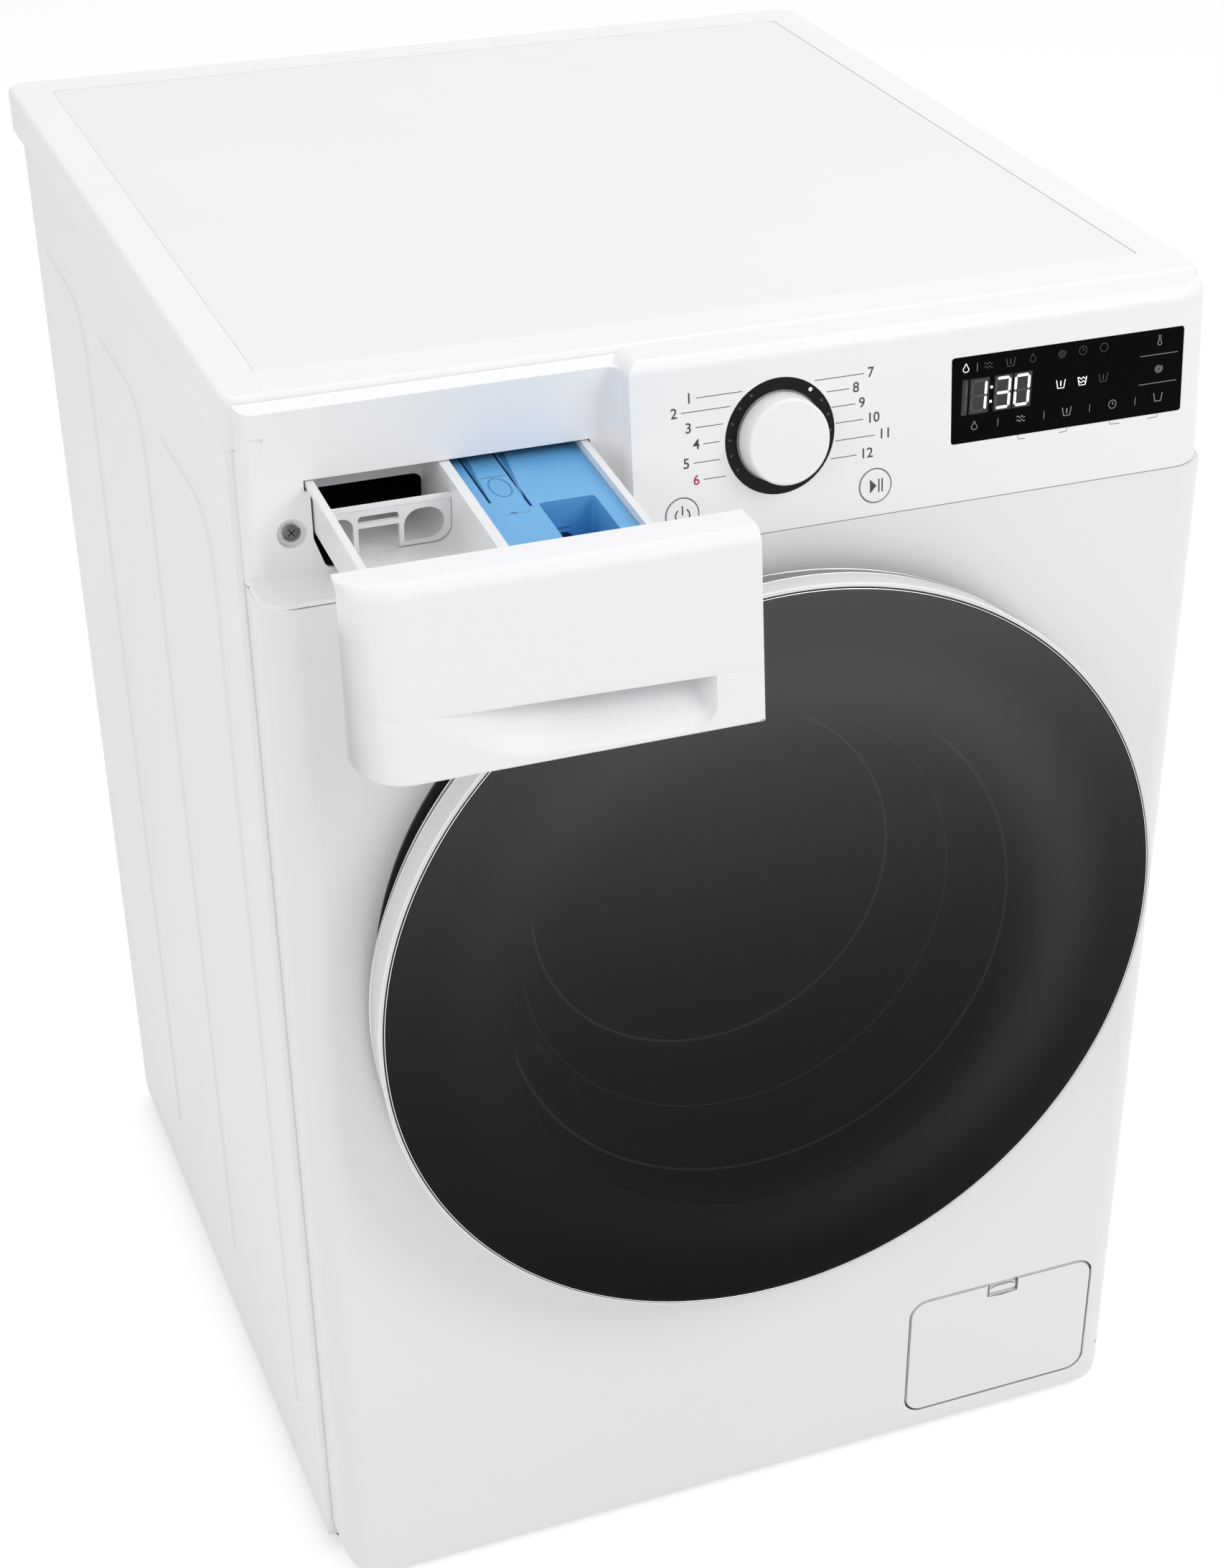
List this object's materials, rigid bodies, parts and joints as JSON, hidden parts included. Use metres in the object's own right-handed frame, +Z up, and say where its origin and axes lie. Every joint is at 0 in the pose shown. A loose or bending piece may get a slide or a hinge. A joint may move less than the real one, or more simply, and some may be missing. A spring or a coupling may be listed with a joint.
{
  "type": "front load washing machine",
  "caption": "White front-loading washing machine with a round dark glass door, rotary program knob, display, sloping detergent drawer pulled out and a hinged filter cover",
  "frame": {"origin": "on the floor, under the middle of the bounding box with the drawer out", "axes": "+X right seen from the front, +Y to the rear, +Z up; the front with the door faces -Y"},
  "size_m": [0.6, 0.857, 0.85],
  "materials": {
    "white_enamel": "satin",
    "zinc_steel": "satin",
    "stainless": "polished",
    "steel": "satin",
    "white_plastic": "satin",
    "white_gloss": "gloss",
    "worktop": "satin",
    "grey_plastic": "matt",
    "dark_plastic": "matt",
    "black_gloss": "gloss",
    "door_glass": "gloss",
    "bowl_glass": "gloss",
    "black_rubber": "matt",
    "grey_rubber": "matt",
    "blue_plastic": "satin",
    "tub_plastic": "matt",
    "concrete": "matt",
    "cast_aluminium": "matt",
    "board": "satin",
    "copper": "satin"
  },
  "bodies": {
    "cabinet": {"side_panel_right": "white_enamel", "side_panel_left": "white_enamel", "rear_panel": "zinc_steel", "rear_cover": "zinc_steel", "cross_screws": "steel", "transport_plugs": "grey_plastic", "base_pan": "grey_plastic", "foot_pads": "black_rubber", "foot_bolts": "steel", "front_panel": "white_enamel", "top_frame": "white_plastic", "top_plate": "worktop", "top_rails": "zinc_steel", "hinge_bracket": "steel", "hinge_pin": "stainless", "door_lock": "dark_plastic", "gasket": "grey_rubber", "control_panel": "white_plastic", "knob_ring": "black_gloss", "display_window": "black_gloss", "control_board": "board", "dispenser_housing": "dark_plastic", "dispenser_hose": "black_rubber", "drain_pump": "dark_plastic", "tub_front": "tub_plastic", "tub_rear": "tub_plastic", "drum_bearings": "steel", "motor_stator": "copper", "suspension_springs": "steel", "dampers": "steel", "counterweights": "concrete", "heater": "stainless", "inlet_valve": "white_plastic", "fill_hose": "black_rubber", "sump_hose": "black_rubber", "drain_hose": "grey_rubber", "drain_spigot": "grey_plastic", "cord_gland": "dark_plastic"},
    "door": {"door_ring": "white_gloss", "door_cover_glass": "door_glass", "door_frame": "grey_plastic", "door_bowl": "bowl_glass", "hinge_leaf": "steel"},
    "latch_hook": {"latch_hook": "grey_plastic"},
    "drawer": {"drawer_front": "white_plastic", "drawer_tray": "white_plastic", "softener_insert": "blue_plastic"},
    "powder_flap": {"powder_flap": "white_plastic"},
    "program_knob": {"program_knob": "white_plastic"},
    "power_button": {"power_button": "white_plastic"},
    "start_button": {"start_button": "white_plastic"},
    "filter_cover": {"filter_cover": "white_plastic"},
    "filter_latch": {"filter_latch": "white_plastic"},
    "pump_filter": {"pump_filter": "grey_plastic"},
    "pump_impeller": {"pump_impeller": "white_plastic"},
    "drum": {"drum_shell": "stainless", "drum_lifters": "grey_plastic", "drum_spider": "cast_aluminium", "drum_shaft": "steel", "motor_rotor": "zinc_steel"}
  },
  "joints": [
    {"name": "door_swing", "type": "hinge", "parent": "cabinet", "child": "door", "pos_m": [-0.244, -0.25899, 0.4663], "axis": [0, 0, -1], "range_deg": [0, 95]},
    {"name": "latch_pull", "type": "hinge", "parent": "door", "child": "latch_hook", "pos_m": [0.238, -0.24649, 0.4663], "axis": [0, 0, 1], "range_deg": [0, 8], "stiffness_Nm_per_rad": 0.4},
    {"name": "drawer_slide", "type": "slide", "parent": "cabinet", "child": "drawer", "axis": [0, 0.9976, 0.0698], "range_m": [0, 0.1945]},
    {"name": "flap_swing", "type": "hinge", "parent": "drawer", "child": "powder_flap", "pos_m": [0, -0.2245, 0.78987], "axis": [1, 0, 0], "range_deg": [0, 80]},
    {"name": "knob_turn", "type": "hinge", "parent": "cabinet", "child": "program_knob", "pos_m": [0.01, -0.22935, 0.79741], "axis": [0, -0.9949, 0.1011], "continuous": true},
    {"name": "power_press", "type": "slide", "parent": "cabinet", "child": "power_button", "axis": [0, 0.9949, -0.1011], "range_m": [0, 0.0012], "stiffness_N_per_m": 150},
    {"name": "start_press", "type": "slide", "parent": "cabinet", "child": "start_button", "axis": [0, 0.9949, -0.1011], "range_m": [0, 0.0012], "stiffness_N_per_m": 150},
    {"name": "cover_swing", "type": "hinge", "parent": "cabinet", "child": "filter_cover", "pos_m": [0.2, -0.22998, 0.036], "axis": [1, 0, 0], "range_deg": [0, 90]},
    {"name": "cover_latch", "type": "slide", "parent": "filter_cover", "child": "filter_latch", "axis": [0, 0, -1], "range_m": [0, 0.002], "stiffness_N_per_m": 150},
    {"name": "filter_turn", "type": "hinge", "parent": "cabinet", "child": "pump_filter", "pos_m": [0.2, -0.21099, 0.072], "axis": [0, -1, 0], "range_deg": [0, 90]},
    {"name": "impeller_spin", "type": "hinge", "parent": "cabinet", "child": "pump_impeller", "pos_m": [0.2, -0.12298, 0.072], "axis": [0, 1, 0], "continuous": true},
    {"name": "drum_spin", "type": "hinge", "parent": "cabinet", "child": "drum", "pos_m": [0, 0.06502, 0.4663], "axis": [0, 1, 0], "continuous": true}
  ]
}
